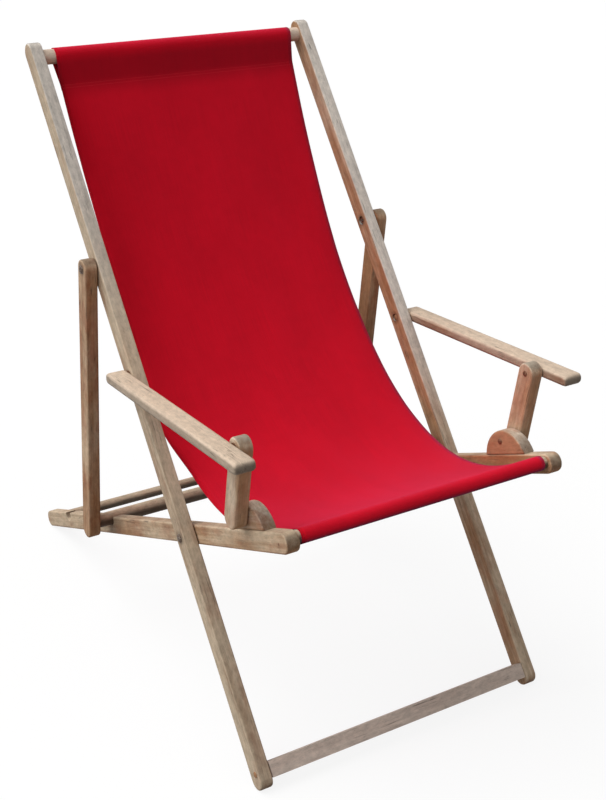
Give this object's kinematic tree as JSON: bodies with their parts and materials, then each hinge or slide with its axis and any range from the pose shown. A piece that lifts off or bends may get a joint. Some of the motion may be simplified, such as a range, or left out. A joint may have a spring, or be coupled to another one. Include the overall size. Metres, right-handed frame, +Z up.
{
  "type": "deck chair",
  "caption": "Folding wooden deck chair with a reclining canvas sling, arm rests on posts and a notched seat frame.",
  "frame": {"origin": "on the floor, under the middle of the chair's length and width", "axes": "+X across the chair, to the right seen from the front, +Y to the rear, +Z up"},
  "size_m": [0.611, 0.988, 1.0065],
  "materials": {
    "rail_wood": "weathered, open grain",
    "bar_wood": "weathered, turned",
    "arm_wood": "greyed, worn smooth",
    "block_wood": "reddish, sanded",
    "steel": "zinc plated, dull",
    "canvas": "plain weave cotton canvas"
  },
  "bodies": {
    "main_frame": {"main_rail_left": "rail_wood", "main_rail_right": "rail_wood", "head_bar": "bar_wood", "foot_bar": "bar_wood", "foot_screw_left": "steel", "foot_screw_right": "steel", "seat_hinge_bolt_left": "steel", "seat_hinge_bolt_right": "steel", "seat_hinge_nut_left": "steel", "seat_hinge_nut_right": "steel", "seat_hinge_washer_left": "steel", "seat_hinge_washer_right": "steel", "prop_hinge_bolt_left": "steel", "prop_hinge_bolt_right": "steel", "prop_hinge_nut_left": "steel", "prop_hinge_nut_right": "steel", "prop_hinge_washer_left": "steel", "prop_hinge_washer_right": "steel", "arm_rear_screw_left": "steel", "arm_rear_screw_right": "steel", "arm_rear_washer_left": "steel", "arm_rear_washer_right": "steel", "sling": "canvas"},
    "seat_frame": {"seat_rail_left": "rail_wood", "seat_rail_right": "rail_wood", "seat_front_bar": "bar_wood", "seat_rear_bar": "bar_wood", "arm_block_left": "block_wood", "arm_block_right": "block_wood", "post_foot_screw_left": "steel", "post_foot_screw_right": "steel", "post_foot_washer_left": "steel", "post_foot_washer_right": "steel", "block_pin_left_1": "bar_wood", "block_pin_left_2": "bar_wood", "block_pin_right_1": "bar_wood", "block_pin_right_2": "bar_wood"},
    "prop_frame": {"prop_strut_left": "rail_wood", "prop_strut_right": "rail_wood", "prop_bar": "bar_wood"},
    "arm_left": {"arm_rest_left": "arm_wood"},
    "post_left": {"arm_post_left": "block_wood", "post_top_screw_left": "steel", "post_top_washer_left": "steel"},
    "arm_right": {"arm_rest_right": "arm_wood"},
    "post_right": {"arm_post_right": "block_wood", "post_top_screw_right": "steel", "post_top_washer_right": "steel"}
  },
  "joints": [
    {"name": "fold", "type": "hinge", "parent": "main_frame", "child": "seat_frame", "pos_m": [0, -0.20097, 0.32154], "axis": [1, 0, 0], "range_deg": [0, 75], "deforming": ["sling"]},
    {"name": "prop", "type": "hinge", "parent": "main_frame", "child": "prop_frame", "pos_m": [0, 0.08347, 0.6856], "axis": [1, 0, 0], "range_deg": [-35, 0]},
    {"name": "arm_left", "type": "hinge", "parent": "main_frame", "child": "arm_left", "pos_m": [0, -0.03289, 0.53666], "axis": [1, 0, 0], "range_deg": [0, 46.1]},
    {"name": "arm_right", "type": "hinge", "parent": "main_frame", "child": "arm_right", "pos_m": [0, -0.03289, 0.53666], "axis": [1, 0, 0], "range_deg": [0, 46.1]},
    {"name": "post_left", "type": "hinge", "parent": "seat_frame", "child": "post_left", "pos_m": [0, -0.36944, 0.43928], "axis": [1, 0, 0], "range_deg": [-113.8, 0]},
    {"name": "post_right", "type": "hinge", "parent": "seat_frame", "child": "post_right", "pos_m": [0, -0.36944, 0.43928], "axis": [1, 0, 0], "range_deg": [-113.8, 0]}
  ],
  "couplings": [
    {"joint": "prop", "follows": "fold", "ratio": -0.4666},
    {"joint": "arm_left", "follows": "fold", "ratio": 0.6142},
    {"joint": "arm_right", "follows": "fold", "ratio": 0.6142},
    {"joint": "post_left", "follows": "fold", "ratio": -1.516},
    {"joint": "post_right", "follows": "fold", "ratio": -1.516}
  ]
}
